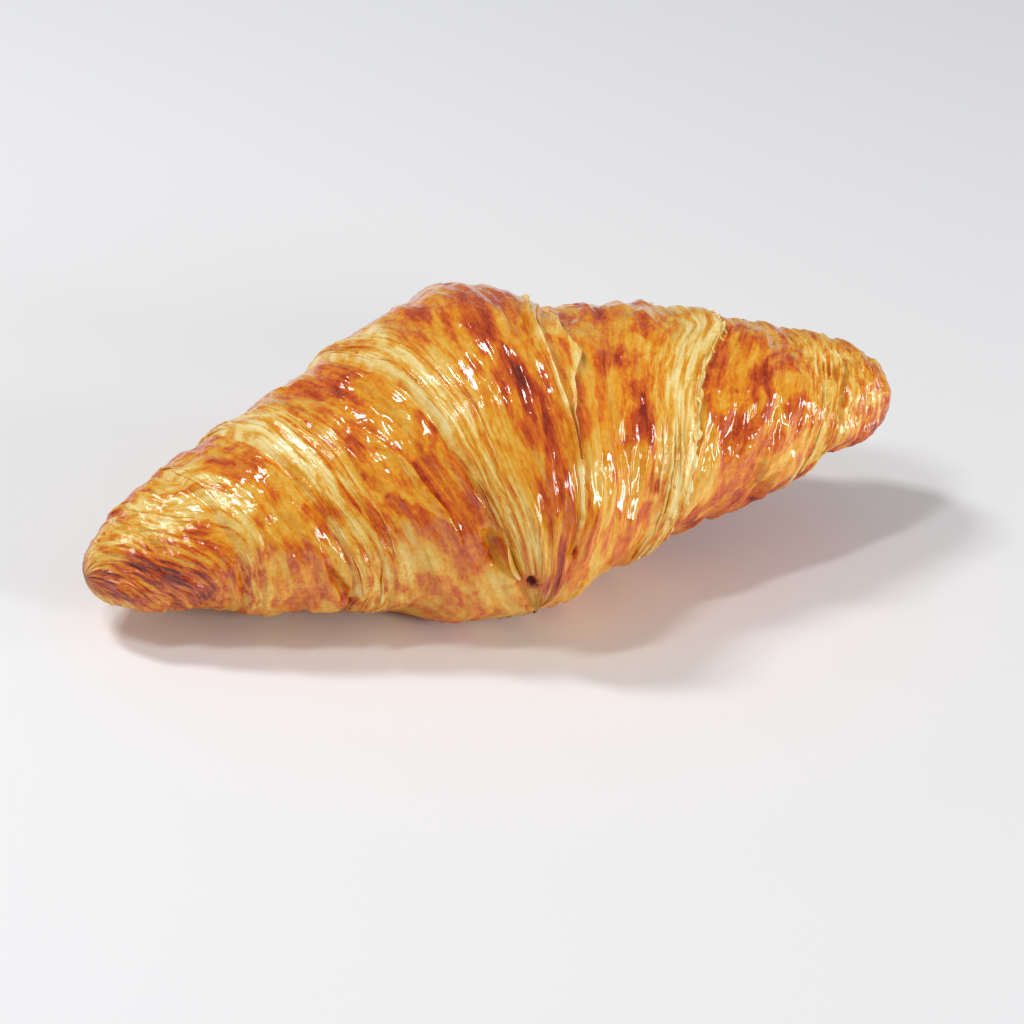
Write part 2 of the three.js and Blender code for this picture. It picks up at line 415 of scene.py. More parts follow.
# How far each place is baked, from pale dough at 0 to scorched at 1, and where shade is painted in, darker still: in
# the creases, at the foot of each sheet, in the deeper holes and low down at the right. The skin is browner at the top.
# A cut face is palest at its foot and less pale low down, and the left end is palest at the top.
palest, darkest = 0.2, 0.8
height_round = np.where(angle > 90, 180 - angle, angle)  # the same up the back as up the front
skin_bake = 0.46 + 0.09 * blend(-20, 50, height_round)
layer_contrast = np.where(roll_map["on_left"], 0.19, 0.08)
face_bake = palest + 0.2 * blend(0.2, 1.2, inside / face) + layer_contrast * streaks_on(grain, 0.05, 0.8, 41)
pale_low_down = np.where(roll_map["on_left"], np.where(wrap == 0, 0.7, 0.45), 0.85)
fades = pale_low_down + (1 - pale_low_down) * blend(35, 66, height_round)
bake_and_shade = skin_bake + (face_bake - skin_bake) * on_face * pale * fades
left_end_bake = 0.84 - 0.46 * blend(35, 68, height_round)
right_end_bake = 0.4 + 0.1 * blend(64, 76, x)
bake_and_shade = bake_and_shade + (left_end_bake - bake_and_shade) * 0.7 * left_end + (right_end_bake - bake_and_shade) * 0.8 * right_end
bake_and_shade = bake_and_shade + end_streaks * (0.13 * left_end + 0.1 * right_end)
# Browner or paler patches: x, angle, half the width in mm, half the length in degrees, mm of lean for each degree, and
# how much is added. The two low on the front at the right are browner crust and painted shade on the underside.
patches = [
    (-54, 3, 9, 13, -0.05, 0.12), (-77, 25, 4, 40, 0, 0.07), (-66, 75, 8, 22, -0.05, -0.2),
    (-54, 70, 8, 26, -0.08, -0.08), (-54, 92, 3, 10, -0.05, 0.08), (-56, 50, 6, 26, -0.08, -0.06),
    (-29, 88, 4, 20, -0.1, 0.08), (-35, 65, 5, 20, -0.08, 0.09), (-32, 42, 6, 24, -0.1, 0.05),
    (-24, 42, 3.2, 14, -0.19, -0.11), (-30.5, 22, 0.9, 20, -0.06, 0.12), (-26, 8, 4, 14, 0, -0.05),
    (-6, 75, 5, 32, -0.07, 0.05), (-5, 58, 1.2, 16, -0.06, 0.12), (-4, 30, 3.5, 16, -0.05, 0.04),
    (-6, -8, 3.5, 7, 0, 0.26), (-4, 6, 3, 8, 0, 0.14), (20, 90, 4, 22, 0.1, 0.1), (15, 50, 1.6, 16, 0.05, 0.08),
    (19.5, 45, 1.2, 16, 0.05, 0.14), (4, 22, 3, 16, 0, -0.08), (14, 6, 9, 14, 0, 0.08),
    # The last two here: browner crust and painted shade on the underside at the right, which faces away from the light.
    (3, 48, 2.5, 34, 0.05, -0.06), (42, 45, 7, 30, 0.1, 0.08), (37, -18, 10, 12, 0, 0.2), (70, -14, 9, 14, 0, 0.25),
    (79, -5, 2.5, 50, 0, 0.3),
]
for px, pa, width, span, lean, strength in patches:
    off = x - px - lean * (angle - pa)
    bake_and_shade = bake_and_shade + strength * np.exp(-((off / width) ** 2) - ((angle - pa) / span) ** 2)
# Underneath it stood on the hot tray, and no egg wash got there, so it is dull as well. Low down it is darker towards
# the right, browner crust and painted shade on the underside that faces away from the light.
browned_and_shaded_right = blend(20, 34, x)
low = blend(-5, -30, angle)
low_bake_and_shade = 0.5 + 0.3 * browned_and_shaded_right
bake_and_shade = bake_and_shade + (low_bake_and_shade - bake_and_shade) * (0.6 + 0.2 * browned_and_shaded_right) * low
tray = np.where(angle > 180, blend(215, 245, angle), blend(-40, -65, angle))
bake_and_shade = bake_and_shade + (low_bake_and_shade - bake_and_shade) * tray
# Painted shade: the crease along each edge is coloured darker; the foot of each sheet adds browner crust and painted
# shade.
bake_and_shade = np.clip(bake_and_shade + 0.06 * crease + sheet_foot_bake_and_shade, palest, darkest)
gloss = (1 - 0.6 * low) * (1 - tray) * (1 - 0.1 * on_face)
# Pits and openings in the crust: x, angle, half its width in mm, half its length in degrees, its depth, and how much
# darker it is coloured: burnt dough in the small specks, and painted shade inside the deeper holes.
pits = [
    (-8, -8, 1.0, 3.2, 1.8, 0.5), (-1.6, 4, 0.7, 2.5, 1.8, 0.6), (-13.6, 5, 1.9, 8.5, 3.0, 0.1),
    (-39.9, -8, 1.0, 14, 2.0, 0.25), (-31, 36, 0.3, 0.8, 0.1, 0.5), (23, 9, 0.35, 1, 0.1, 0.6),
    (39.7, 48, 0.3, 0.8, 0.1, 0.5),
]
for px, pa, width, span, depth, burnt_and_shade in pits:
    off = x - px + 0.15 * (angle - pa) + 0.3 * width * lumps(grain, 1.2, 32)
    pit = np.exp(-((off / width) ** 2 + ((angle - pa) / span) ** 2) ** 2)
    radius = radius - depth * pit
    # Darker colour: burnt specks, and painted shade inside the deeper holes.
    bake_and_shade = bake_and_shade + burnt_and_shade * pit
    gloss = gloss * (1 - 0.7 * pit)
points = roll_point(x, angle, radius)

rings, spokes = x.shape
number_of = np.arange(rings * spokes).reshape(rings, spokes)
a, b = number_of[:-1], number_of[1:]
quads = np.stack([a, b, np.roll(b, -1, 1), np.roll(a, -1, 1)], -1).reshape(-1, 4)
# At an edge the fields pass over two rings, so that it doesn't show the steps of the mesh.
for field in (bake_and_shade, on_face, gloss):
    field[1:-1] = (field[:-2] + 2 * field[1:-1] + field[2:]) / 4
left_tip, right_tip = rings * spokes, rings * spokes + 1
tips = [(left_tip, int(number_of[0, i]), int(number_of[0, (i + 1) % spokes])) for i in range(spokes)]
tips += [(right_tip, int(number_of[-1, (i + 1) % spokes]), int(number_of[-1, i])) for i in range(spokes)]
tip_points = [roll_point(np.array(tip_x), np.array(0.0), 1.0) for tip_x in (-half, half)]


def with_tips(values):
    """A field over the roll as one list, with its two tips at the end."""
    end_means = [values[ring].reshape(spokes, -1).mean(0)[None] for ring in (0, -1)]
    return np.concatenate([values.reshape(rings * spokes, -1), *end_means])


def add_fields(mesh, fields):
    """Gives each point of a mesh the numbers of some named fields, or their vectors, or one number for all points."""
    count = len(mesh.vertices)
    for name, values in fields.items():
        values = np.ravel(values)
        vector = len(values) == 3 * count
        layer = mesh.attributes.new(name, "FLOAT_VECTOR" if vector else "FLOAT", "POINT")
        layer.data.foreach_set("vector" if vector else "value", values if len(values) > 1 else np.repeat(values, count))


roll_mesh = bpy.data.meshes.new("rolled_dough")
all_points = np.concatenate([points.reshape(-1, 3), np.array(tip_points)]) * mm
roll_mesh.from_pydata(all_points.tolist(), [], [tuple(q) for q in quads.tolist()] + tips)
roll_layers = {"bake_and_shade": bake_and_shade, "cut_face": on_face, "gloss": gloss, "edge_calm": edge_calm, "grain": grain}
add_fields(roll_mesh, {name: with_tips(values) for name, values in roll_layers.items()})
roll_mesh.shade_smooth()
rolled_dough = bpy.data.objects.new("rolled_dough", roll_mesh)
scene.collection.objects.link(rolled_dough)


# The crust of the roll: wrinkles that run with the grain and small blisters, raised by heat under the egg wash.
def node(tree, kind, inputs=None, **settings):
    """A node of a tree, with the values of its inputs and its settings."""
    made = tree.nodes.new(kind)
    for key, value in settings.items():
        setattr(made, key, value)
    for key, value in (inputs or {}).items():
        made.inputs[key].default_value = value
    return made


def maths(tree, operation, **inputs):
    """A node for sums, where a, b and c are its inputs."""
    return node(tree, "ShaderNodeMath", {"abc".index(key): value for key, value in inputs.items()}, operation=operation)


def field_in(tree, name, data_type="FLOAT"):
    return node(tree, "GeometryNodeInputNamedAttribute", {"Name": name}, data_type=data_type)


def shape_tree(name, settings):
    """A tree that changes a shape by some settings, with its first and last nodes."""
    tree = bpy.data.node_groups.new(name, "GeometryNodeTree")
    tree.interface.new_socket("Geometry", in_out="INPUT", socket_type="NodeSocketGeometry")
    for setting in settings:
        tree.interface.new_socket(setting, in_out="INPUT", socket_type="NodeSocketFloat")
    tree.interface.new_socket("Geometry", in_out="OUTPUT", socket_type="NodeSocketGeometry")
    return tree, node(tree, "NodeGroupInput"), node(tree, "NodeGroupOutput")


relief, group_in, group_out = shape_tree(
    "crust_relief", ["Wrinkle Height", "Wrinkle Scale", "Blister Height", "Blister Scale"]
)
grain_in = field_in(relief, "grain", "FLOAT_VECTOR")
face_in = field_in(relief, "cut_face")
calm_in = field_in(relief, "edge_calm")
lively = maths(relief, "SUBTRACT", a=1.0)
lively_amount = maths(relief, "MULTIPLY")
stretch = node(relief, "ShaderNodeVectorMath", {1: (1.0, 0.24, 0.24)}, operation="MULTIPLY")
wrinkle = node(relief, "ShaderNodeTexNoise", {"Detail": 1.5, "Distortion": 0.6})
place_in = node(relief, "GeometryNodeInputPosition")
in_mm = node(relief, "ShaderNodeVectorMath", {"Scale": 1000}, operation="SCALE")
blister = node(relief, "ShaderNodeTexNoise", {"Detail": 1})
wrinkle_rise = maths(relief, "SUBTRACT", b=0.5)
blister_rise = maths(relief, "SUBTRACT", b=0.5)
wrinkle_amount = maths(relief, "MULTIPLY")
blister_amount = maths(relief, "MULTIPLY")
both = maths(relief, "ADD")
on_skin = node(relief, "ShaderNodeMapRange", {"To Min": 1, "To Max": 0.35})
amount = maths(relief, "MULTIPLY")
normal_in = node(relief, "GeometryNodeInputNormal")
offset = node(relief, "ShaderNodeVectorMath", operation="SCALE")
above = node(relief, "ShaderNodeSeparateXYZ")
# Nothing moves on the base or just above it.
clear = node(relief, "FunctionNodeCompare", data_type="FLOAT", operation="GREATER_THAN")
clear.inputs["B"].default_value = 1.2 * mm
move = node(relief, "GeometryNodeSetPosition")
link = relief.links.new
link(grain_in.outputs["Attribute"], stretch.inputs[0])
link(stretch.outputs[0], wrinkle.inputs["Vector"])
link(group_in.outputs["Wrinkle Scale"], wrinkle.inputs["Scale"])
link(wrinkle.outputs["Fac"], wrinkle_rise.inputs[0])
link(wrinkle_rise.outputs[0], wrinkle_amount.inputs[0])
link(group_in.outputs["Wrinkle Height"], wrinkle_amount.inputs[1])
link(place_in.outputs[0], in_mm.inputs[0])
link(in_mm.outputs[0], blister.inputs["Vector"])
link(group_in.outputs["Blister Scale"], blister.inputs["Scale"])
link(blister.outputs["Fac"], blister_rise.inputs[0])
link(blister_rise.outputs[0], blister_amount.inputs[0])
link(group_in.outputs["Blister Height"], blister_amount.inputs[1])
link(wrinkle_amount.outputs[0], both.inputs[0])
link(blister_amount.outputs[0], both.inputs[1])
link(face_in.outputs["Attribute"], on_skin.inputs["Value"])
link(both.outputs[0], amount.inputs[0])
link(on_skin.outputs[0], amount.inputs[1])
link(calm_in.outputs["Attribute"], lively.inputs[1])
link(amount.outputs[0], lively_amount.inputs[0])
link(lively.outputs[0], lively_amount.inputs[1])
link(normal_in.outputs[0], offset.inputs[0])
link(lively_amount.outputs[0], offset.inputs["Scale"])
link(place_in.outputs[0], above.inputs[0])
link(above.outputs["Z"], clear.inputs["A"])
link(group_in.outputs["Geometry"], move.inputs["Geometry"])
link(clear.outputs[0], move.inputs["Selection"])
link(offset.outputs[0], move.inputs["Offset"])


def linear(red, green, blue):
    """A colour as painters' charts give it, 0 to 255, as the light that it reflects."""
    return tuple(((c / 255 + 0.055) / 1.055) ** 2.4 if c > 10 else c / 255 / 12.92 for c in (red, green, blue)) + (1,)


# The colours that butter dough passes through as it bakes, from its pale leaves to a scorched edge.
bake_colours = [
    (0.00, (250, 230, 160)), (0.16, (244, 209, 122)), (0.32, (234, 180, 70)), (0.46, (231, 153, 26)),
    (0.60, (220, 112, 22)), (0.74, (195, 74, 20)), (0.87, (150, 46, 18)), (1.00, (98, 32, 16)),
]
crust = bpy.data.materials.new("egg_washed_crust")
crust.use_nodes = True
tree = crust.node_tree
surface = tree.nodes["Principled BSDF"]
link = tree.links.new


def attribute(name, output="Fac"):
    return node(tree, "ShaderNodeAttribute", attribute_name=name).outputs[output]


def noise(vector, scale, stretch=(1, 1, 1), detail=3.0, roughness=0.55, distortion=0.0):
    """Noise at a scale, stretched to be longer where the stretch is below 1."""
    scaled = node(tree, "ShaderNodeVectorMath", {1: tuple(scale * s for s in stretch)}, operation="MULTIPLY")
    link(vector, scaled.inputs[0])
    made = node(tree, "ShaderNodeTexNoise", {
        "Scale": 1, "Detail": detail, "Roughness": roughness, "Distortion": distortion,
    })
    link(scaled.outputs[0], made.inputs["Vector"])
    return made.outputs["Fac"]


def varied(value, pattern, amount):
    """A value plus an amount of a pattern, which counts from its middle, a half."""
    away = maths(tree, "SUBTRACT", b=0.5)
    link(pattern, away.inputs[0])
    made = maths(tree, "MULTIPLY_ADD")
    link(away.outputs[0], made.inputs[0])
    if isinstance(amount, float):
        made.inputs[1].default_value = amount
    else:
        link(amount, made.inputs[1])
    link(value, made.inputs[2])
    return made.outputs[0]


def ranged(value, low, high):
    """Passes from low to high as a value goes from 0 to 1."""
    made = node(tree, "ShaderNodeMapRange", {"To Min": low, "To Max": high})
    link(value, made.inputs["Value"])
    return made.outputs["Result"]


def sharpened(value, low, high):
    """Patches with clear borders, where a value passes from low to high."""
    made = node(tree, "ShaderNodeMapRange", {"From Min": low, "From Max": high}, interpolation_type="SMOOTHSTEP")
    link(value, made.inputs["Value"])
    return made.outputs["Result"]


place = node(tree, "ShaderNodeTexCoord").outputs["Object"]
grain_at = attribute("grain", "Vector")
face_at = attribute("cut_face")
streaks = noise(grain_at, 0.8, (1, 0.16, 0.16), detail=5, roughness=0.62, distortion=0.3)
patches_at = noise(grain_at, 0.15, (1, 0.55, 0.55), detail=3, roughness=0.52, distortion=0.9)
leaf_lines = noise(grain_at, 1.4, (1, 0.04, 0.04), detail=2)
wrinkles = noise(grain_at, 0.4, (1, 0.2, 0.2), detail=1, roughness=0.5, distortion=0.5)
mottle = noise(place, 330, detail=3, roughness=0.6, distortion=0.8)
flecks = noise(grain_at, 2.0, (1, 0.5, 0.5), detail=2, roughness=0.65)
# Each amount is for skin first, and then for a cut face.
browning_and_shade = varied(attribute("bake_and_shade"), sharpened(patches_at, 0.4, 0.6), ranged(face_at, 0.27, 0.1))
browning_and_shade = varied(browning_and_shade, sharpened(streaks, 0.4, 0.62), ranged(face_at, 0.16, 0.36))
browning_and_shade = varied(browning_and_shade, mottle, ranged(face_at, 0.26, 0.2))
browning_and_shade = varied(browning_and_shade, leaf_lines, ranged(face_at, 0.08, 0.7))
browning_and_shade = varied(browning_and_shade, flecks, ranged(face_at, 0.38, 0.42))
ramp = node(tree, "ShaderNodeValToRGB")
while len(ramp.color_ramp.elements) < len(bake_colours):
    ramp.color_ramp.elements.new(0.5)
for stop, (level, colour) in zip(ramp.color_ramp.elements, bake_colours):
    stop.position = level
    stop.color = linear(*colour)
link(browning_and_shade, ramp.inputs["Fac"])
link(ramp.outputs["Color"], surface.inputs["Base Color"])

gloss_at = attribute("gloss")
link(varied(ranged(gloss_at, 0.6, 0.1), mottle, 0.15), surface.inputs["Roughness"])
# The bump is for skin and cut faces likewise, and its last two lines are for dull dough first, and then for glossy.
height = varied(wrinkles, leaf_lines, ranged(face_at, 0.02, 0.28))
height = varied(height, streaks, ranged(face_at, 0.05, 0.2))
height = varied(height, mottle, ranged(gloss_at, 0.5, 0.06))
height = varied(height, flecks, ranged(gloss_at, 0.3, 0.0))
bump = node(tree, "ShaderNodeBump", {"Strength": 1, "Distance": 0.9 * mm})
link(height, bump.inputs["Height"])
link(bump.outputs["Normal"], surface.inputs["Normal"])
surface.inputs["IOR"].default_value = 1.6

set_crust = node(relief, "GeometryNodeSetMaterial", {"Material": crust})
realize = node(relief, "GeometryNodeRealizeInstances")
relief.links.new(move.outputs[0], realize.inputs[0])
relief.links.new(realize.outputs[0], set_crust.inputs[0])
relief.links.new(set_crust.outputs[0], group_out.inputs[0])


def grow(thing, tree, settings):
    """Runs a node tree on an object, keeps the plain mesh that it makes, and takes the modifier off."""
    maker = thing.modifiers.new(tree.name, "NODES")
    maker.node_group = tree
    for socket in tree.interface.items_tree:
        if socket.name in settings:
            maker[socket.identifier] = settings[socket.name]
    thing.data.update()
    bpy.context.view_layer.update()
    grown = bpy.data.meshes.new_from_object(thing.evaluated_get(bpy.context.evaluated_depsgraph_get()))
    thing.modifiers.clear()
    thing.data = grown


grow(rolled_dough, relief, {
    "Wrinkle Height": 3.4 * mm, "Wrinkle Scale": 0.27, "Blister Height": 0.6 * mm, "Blister Scale": 0.5,
})
rolled_dough.data.shade_smooth()
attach(rolled_dough, "root")
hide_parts("croissant")


# The leaves of dough: on each cut face the thin leaves, parted by butter, end in fine standing edges that follow the
# wrap's edge. The outermost wrap also has one long torn lip, and a curl stands by the opening at the front.
leaf_lines_on = [
    # wrap, on the left, distances inside its edge, first and last angle, height
    (0, True, (0.5, 1.0, 1.6, 2.3, 3.1, 4.6, 6.4, 8.4), 8, 215, 0.5),
    (1, True, (0.7, 1.5, 2.6, 4.4, 6.0, 7.8, 9.8), -88, 265, 0.45),
    (2, True, (1.2, 2.6, 4.2), -10, 265, 0.45),
    (3, True, (1.2, 2.6), 30, 265, 0.35),
    (0, False, (0.9, 4.0, 6.0), 20, 215, 0.45),
    (1, False, (1.4, 2.8, 4.6, 6.4, 8.2, 10.6), -88, 265, 0.5),
    (2, False, (1.6, 3.2, 5.0, 7.0), -88, 265, 0.45),
]
leaf_step = 1.6


def surface_place(x, angle):
    """Where the dough's surface is at a place on the roll, and the way straight out of it."""
    here = roll_point(x, angle, roll_fields(x, angle)["radius"])
    out = np.stack([0 * here[..., 0], -np.cos(np.radians(angle)), np.sin(np.radians(angle))], -1)
    return here, out


def leaf_edge(x, angle, size, lean, bake_and_shade):
    """One leaf's standing edge along a line on the roll: its place, which way and how far it stands, and its looks."""
    here, out = surface_place(x, angle)
    out = out + np.array([lean, 0, 0])
    out = out / np.linalg.norm(out, axis=-1)[:, None]
    return {"at": here, "out": out, "height": size, "bake_and_shade": bake_and_shade, "grain": grain_of(x, angle)}


def faded_ends(count, fade):
    """0 at both ends of a line of points and 1 from a number of points inwards."""
    return np.minimum(np.minimum(np.arange(count), np.arange(count)[::-1]) / fade, 1)


seed = 100
fine_edges = []
for number, on_left, insides, start, stop, leaf_height in leaf_lines_on:
    for inside_edge in insides:
        seed += 1
        angle_line = np.arange(start, stop, leaf_step)
        rolled = angle_line + 360 * number
        along = along_edge(rolled)
        wander = 0.35 * lumps(along, 9, seed) + 0.15 * lumps(along, 3, seed + 50)
        edge = left_of(rolled) if on_left else right_of(rolled)
        width = face_width(left_wraps if on_left else right_wraps, rolled, angle_line)
        usual_width = 11 if number < 2 else 6  # of a cut face, which the distances inside its edge are meant for
        spread = inside_edge * np.minimum(width / usual_width, 1.0) + wander
        x_line = (spread - edge) if on_left else (edge - spread)
        present = blend(-0.35, 0.15, lumps(along, 12, seed + 90))
        ragged_top = 1 + 0.45 * lumps(along, 2.0, seed + 7) + 0.35 * lumps(along, 0.9, seed + 8)
        pressed = np.where(angle_line < -35, 0.5, 1)  # where it stood on the tray
        size = 0.7 * leaf_height * present * faded_ends(len(rolled), 8) * ragged_top * pressed
        baked = 0.3 + 0.16 * lumps(along, 6, seed + 3)
        fine_edges.append(leaf_edge(x_line, angle_line, np.maximum(size, 0.02), -0.7 if on_left else 0.7, baked))

# The torn lip along the right edge of the outermost wrap.
angle_line = np.arange(3, 118, leaf_step)
along = along_edge(angle_line)
size = 1.4 * faded_ends(len(along), 10) * (1 + 0.25 * lumps(along, 5, 71) + 0.2 * lumps(along, 1.5, 72))
lip_line = right_of(angle_line) - 1.6 - 1.2 * blend(40, 100, angle_line)
lip_edges = [leaf_edge(lip_line, angle_line, np.maximum(size, 0.05), 0.25, 0.29 + 0.12 * lumps(along, 4, 73))]
# The ragged foot of the cut face right of it.
angle_line = np.arange(-24, 150, leaf_step / 2)
along = along_edge(angle_line)
size = 0.5 + 0.4 * lumps(along, 2.6, 74) + 0.5 * lumps(along, 0.9, 75)
foot_line = right_of(angle_line + 360) - 0.35
lip_edges.append(leaf_edge(foot_line, angle_line, np.maximum(size, 0.1), 0.9, 0.12 + 0.1 * lumps(along, 3, 76)))
# The curl of leaf that stands by the opening at the front.
angle_line = np.arange(-7, 10, 0.8)
t = (angle_line + 7) / 17
size = 1.3 * np.sin(np.pi * np.clip(t + 0.08, 0, 1)) ** 0.6
curl_line = -11.4 - 1.2 * t + 1.4 * (1 - t) ** 3
lip_edges.append(leaf_edge(curl_line, angle_line, size + 0.05, -0.9, 0.2 + 0 * size))


def paths_of(name, edges):
    """Lines for the leaf tree to follow, as one object."""
    chain, first = [], 0
    for edge in edges:
        chain.extend((first + i, first + i + 1) for i in range(len(edge["at"]) - 1))
        first += len(edge["at"])
    mesh = bpy.data.meshes.new(name)
    mesh.from_pydata((np.concatenate([edge["at"] for edge in edges]) * mm).tolist(), chain, [])
    add_fields(mesh, {key: np.concatenate([edge[key] for edge in edges]) for key in ("out", "height", "bake_and_shade", "grain")})
    thing = bpy.data.objects.new(name, mesh)
    scene.collection.objects.link(thing)
    return thing


leaves_of_dough = paths_of("leaves_of_dough", fine_edges)
torn_lips = paths_of("torn_lips", lip_edges)

# Each edge is a wedge swept along its line. Root depth and thickness are shares of the height.
leaf_tree, group_in, group_out = shape_tree("leaf_edges", ["Root Depth", "Thickness"])
link = leaf_tree.links.new
paths = node(leaf_tree, "GeometryNodeMeshToCurve")
stand = node(leaf_tree, "GeometryNodeSetCurveNormal", mode="FREE")
out_in = field_in(leaf_tree, "out", "FLOAT_VECTOR")
height_in = field_in(leaf_tree, "height")
to_metres = maths(leaf_tree, "MULTIPLY", b=mm)
half_thick = maths(leaf_tree, "MULTIPLY", b=0.5)
other_half = maths(leaf_tree, "MULTIPLY", b=-0.5)
root = maths(leaf_tree, "MULTIPLY", b=-1.0)
corner_a = node(leaf_tree, "ShaderNodeCombineXYZ")
corner_b = node(leaf_tree, "ShaderNodeCombineXYZ")
wedge = node(leaf_tree, "GeometryNodeCurvePrimitiveQuadrilateral", mode="POINTS")
wedge.inputs["Point 3"].default_value = (1.0, 0.05, 0)
wedge.inputs["Point 4"].default_value = (1.0, -0.05, 0)
sweep = node(leaf_tree, "GeometryNodeCurveToMesh", {"Fill Caps": True})
face_out = node(leaf_tree, "GeometryNodeFlipFaces")
realize = node(leaf_tree, "GeometryNodeRealizeInstances")
set_leaf = node(leaf_tree, "GeometryNodeSetMaterial", {"Material": crust})
link(group_in.outputs["Geometry"], paths.inputs["Mesh"])
link(paths.outputs[0], stand.inputs["Curve"])
link(out_in.outputs["Attribute"], stand.inputs["Normal"])
link(group_in.outputs["Thickness"], half_thick.inputs[0])
link(group_in.outputs["Thickness"], other_half.inputs[0])
link(group_in.outputs["Root Depth"], root.inputs[0])
link(root.outputs[0], corner_a.inputs["X"])
link(other_half.outputs[0], corner_a.inputs["Y"])
link(root.outputs[0], corner_b.inputs["X"])
link(half_thick.outputs[0], corner_b.inputs["Y"])
link(corner_a.outputs[0], wedge.inputs["Point 1"])
link(corner_b.outputs[0], wedge.inputs["Point 2"])
link(stand.outputs[0], sweep.inputs["Curve"])
link(wedge.outputs[0], sweep.inputs["Profile Curve"])
link(height_in.outputs["Attribute"], to_metres.inputs[0])
link(to_metres.outputs[0], sweep.inputs["Scale"])
link(sweep.outputs[0], face_out.inputs[0])
link(face_out.outputs[0], realize.inputs[0])
link(realize.outputs[0], set_leaf.inputs[0])
link(set_leaf.outputs[0], group_out.inputs[0])

for leaves, thickness in ((leaves_of_dough, 0.9), (torn_lips, 0.42)):
    grow(leaves, leaf_tree, {"Root Depth": 0.6, "Thickness": thickness})
    add_fields(leaves.data, {"cut_face": 0.8, "gloss": 0.6})
    leaves.data.shade_smooth()
    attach(leaves, "root")


# The shards: where the second wrap tore as it baked, small brittle splinters of leaf hang from the ragged foot of its
# cut face, right of the middle.
shard_count = 36
first_angle, last_angle = -22, 150
longest, widest = 2.6, 1.0

chance = np.random.RandomState(11)
angle_at = chance.uniform(first_angle, last_angle, shard_count)
x_at = right_of(angle_at + 360) - chance.uniform(0.2, 1.4, shard_count)
here, out = surface_place(x_at, angle_at)
outwards = chance.uniform(-0.35, 0.25, shard_count)
down = np.where(chance.uniform(0, 1, shard_count) < 0.8, 1, -0.7)
lay = np.stack([outwards, -down * np.sin(np.radians(angle_at)), -down * np.cos(np.radians(angle_at))], -1)
facing_out = out + chance.uniform(-0.3, 0.3, (shard_count, 3))
shard_lengths = longest * chance.uniform(0.35, 1, shard_count)
shard_widths = widest * chance.uniform(0.3, 1, shard_count)
shard_mesh = bpy.data.meshes.new("shard_roots")
shard_mesh.from_pydata(((here + 0.1 * out) * mm).tolist(), [], [])
add_fields(shard_mesh, {
    "bake_and_shade": chance.uniform(0.12, 0.42, shard_count), "out": facing_out, "lay": lay,
    "size": np.stack([shard_lengths, shard_widths, np.ones(shard_count)], -1), "grain": grain_of(x_at, angle_at),
})
torn_shards = bpy.data.objects.new("torn_shards", shard_mesh)
scene.collection.objects.link(torn_shards)

# Each shard is a small box, tapered and bent along its length, whose points are then moved about a little.
shard_tree, group_in, group_out = shape_tree("shards_along_an_edge", ["Leaf Thickness", "Raggedness"])
link = shard_tree.links.new
box_size = node(shard_tree, "ShaderNodeCombineXYZ", {"X": mm, "Y": mm})
leaf_box = node(shard_tree, "GeometryNodeMeshCube", {"Vertices X": 5, "Vertices Y": 4, "Vertices Z": 2})
place_in = node(shard_tree, "GeometryNodeInputPosition")
parts_of = node(shard_tree, "ShaderNodeSeparateXYZ")
along_leaf = node(shard_tree, "ShaderNodeMapRange", {"From Min": -0.5 * mm, "From Max": 0.5 * mm})
taper = maths(shard_tree, "MULTIPLY_ADD", b=-0.6, c=1.0)
narrowed = maths(shard_tree, "MULTIPLY")
bend_square = maths(shard_tree, "POWER", b=2.0)
bent = maths(shard_tree, "MULTIPLY_ADD", b=-0.25 * mm)
forward = maths(shard_tree, "MULTIPLY", b=mm)
shaped = node(shard_tree, "ShaderNodeCombineXYZ")
shape_leaf = node(shard_tree, "GeometryNodeSetPosition")
facing = node(shard_tree, "FunctionNodeAxesToRotation")
out_in, lay_in, size_in = (field_in(shard_tree, name, "FLOAT_VECTOR") for name in ("out", "lay", "size"))
put = node(shard_tree, "GeometryNodeInstanceOnPoints")
realize = node(shard_tree, "GeometryNodeRealizeInstances")
tear = node(shard_tree, "ShaderNodeTexNoise", {"Scale": 900, "Detail": 1})
tear_centre = node(shard_tree, "ShaderNodeVectorMath", {1: (0.5, 0.5, 0.5)}, operation="SUBTRACT")
tear_amount = node(shard_tree, "ShaderNodeVectorMath", operation="SCALE")
tear_move = node(shard_tree, "GeometryNodeSetPosition")
place_again = node(shard_tree, "GeometryNodeInputPosition")
set_shard = node(shard_tree, "GeometryNodeSetMaterial", {"Material": crust})
link(group_in.outputs["Leaf Thickness"], box_size.inputs["Z"])
link(box_size.outputs[0], leaf_box.inputs["Size"])
link(place_in.outputs[0], parts_of.inputs[0])
link(parts_of.outputs["X"], along_leaf.inputs["Value"])
link(along_leaf.outputs[0], taper.inputs[0])
link(parts_of.outputs["Y"], narrowed.inputs[0])
link(taper.outputs[0], narrowed.inputs[1])
link(along_leaf.outputs[0], bend_square.inputs[0])
link(bend_square.outputs[0], bent.inputs[0])
link(parts_of.outputs["Z"], bent.inputs[2])
link(along_leaf.outputs[0], forward.inputs[0])
link(forward.outputs[0], shaped.inputs["X"])
link(narrowed.outputs[0], shaped.inputs["Y"])
link(bent.outputs[0], shaped.inputs["Z"])
link(leaf_box.outputs["Mesh"], shape_leaf.inputs["Geometry"])
link(shaped.outputs[0], shape_leaf.inputs["Position"])
link(group_in.outputs["Geometry"], put.inputs["Points"])
link(shape_leaf.outputs[0], put.inputs["Instance"])
link(out_in.outputs["Attribute"], facing.inputs["Primary Axis"])
link(lay_in.outputs["Attribute"], facing.inputs["Secondary Axis"])
link(facing.outputs[0], put.inputs["Rotation"])
link(size_in.outputs["Attribute"], put.inputs["Scale"])
link(put.outputs[0], realize.inputs[0])
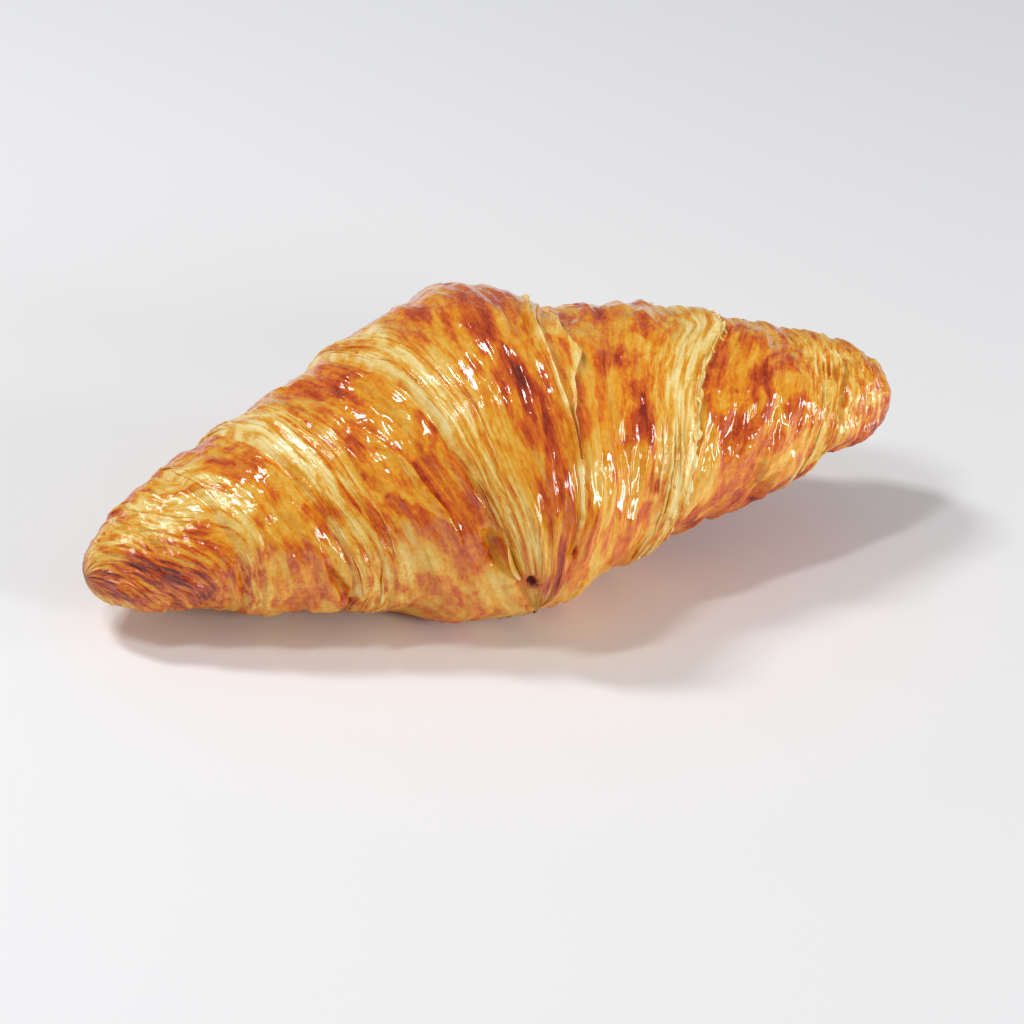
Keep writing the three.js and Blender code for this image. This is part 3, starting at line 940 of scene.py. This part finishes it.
link(place_again.outputs[0], tear.inputs["Vector"])
link(tear.outputs["Color"], tear_centre.inputs[0])
link(tear_centre.outputs[0], tear_amount.inputs[0])
link(group_in.outputs["Raggedness"], tear_amount.inputs["Scale"])
link(realize.outputs[0], tear_move.inputs["Geometry"])
link(tear_amount.outputs[0], tear_move.inputs["Offset"])
link(tear_move.outputs[0], set_shard.inputs[0])
link(set_shard.outputs[0], group_out.inputs[0])
grow(torn_shards, shard_tree, {"Leaf Thickness": 0.14 * mm, "Raggedness": 1.0 * mm})
add_fields(torn_shards.data, {"cut_face": 0.7, "gloss": 0.5})
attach(torn_shards, "root")


# The loose flap: a thin sheet that tore off right of the lip and lies on the next wrap, with a ragged, lifted rim.
flap_thickness = 0.3 * mm
width_at = [
    # angle, width
    (34, 0.3), (46, 1.6), (56, 3.0), (64, 5.4), (70, 7.6), (76, 7.0), (84, 5.2), (94, 4.2), (104, 2.2), (112, 0.4),
]
flap_angles = np.arange(width_at[0][0], width_at[-1][0], 1.2)
along = along_edge(flap_angles)
flap_widths = curve_through(width_at, flap_angles) * (1 + 0.14 * lumps(along, 3, 81)) + 0.5 * lumps(along, 1.4, 82)
across_steps = np.linspace(0, 1, 12)
flap_x = (right_of(flap_angles) - 0.8)[:, None] + np.maximum(flap_widths, 0.3)[:, None] * across_steps[None]
flap_angle = np.repeat(flap_angles[:, None], len(across_steps), 1)
here, out = surface_place(flap_x, flap_angle)
flap_grain = grain_of(flap_x, flap_angle)
# It lifts towards its rim, and lies flatter at its upper end.
lift = 0.3 + 0.5 * across_steps**2 + 0.5 * np.exp(-(((across_steps - 0.93) / 0.1) ** 2))
lift = lift[None] + 0.35 * streaks_on(flap_grain, 0.3, 2.5, 83)
lift = lift * (1 - 0.85 * blend(96, 112, flap_angle))
flap_points = here + out * lift[..., None]
rows, columns = flap_x.shape
number_of = np.arange(rows * columns).reshape(rows, columns)
low_row, high_row = number_of[:-1], number_of[1:]
flap_quads = np.stack([low_row[:, :-1], low_row[:, 1:], high_row[:, 1:], high_row[:, :-1]], -1).reshape(-1, 4)
flap_mesh = bpy.data.meshes.new("loose_flap")
flap_mesh.from_pydata((flap_points.reshape(-1, 3) * mm).tolist(), [], flap_quads.tolist())
near_rim = blend(0.66, 0.95, across_steps)[None]
add_fields(flap_mesh, {
    "bake_and_shade": 0.46 - 0.3 * near_rim + 0.12 * lumps(flap_grain, 2.4, 84),
    "cut_face": 0.2 + 0.6 * near_rim + 0 * flap_x, "gloss": 0.7, "grain": flap_grain,
})
flap_mesh.materials.append(crust)
flap_mesh.shade_smooth()
loose_flap = bpy.data.objects.new("loose_flap", flap_mesh)
scene.collection.objects.link(loose_flap)
thicken = loose_flap.modifiers.new("thickness", "SOLIDIFY")
thicken.thickness = flap_thickness
thicken.offset = -1
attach(loose_flap, "root")
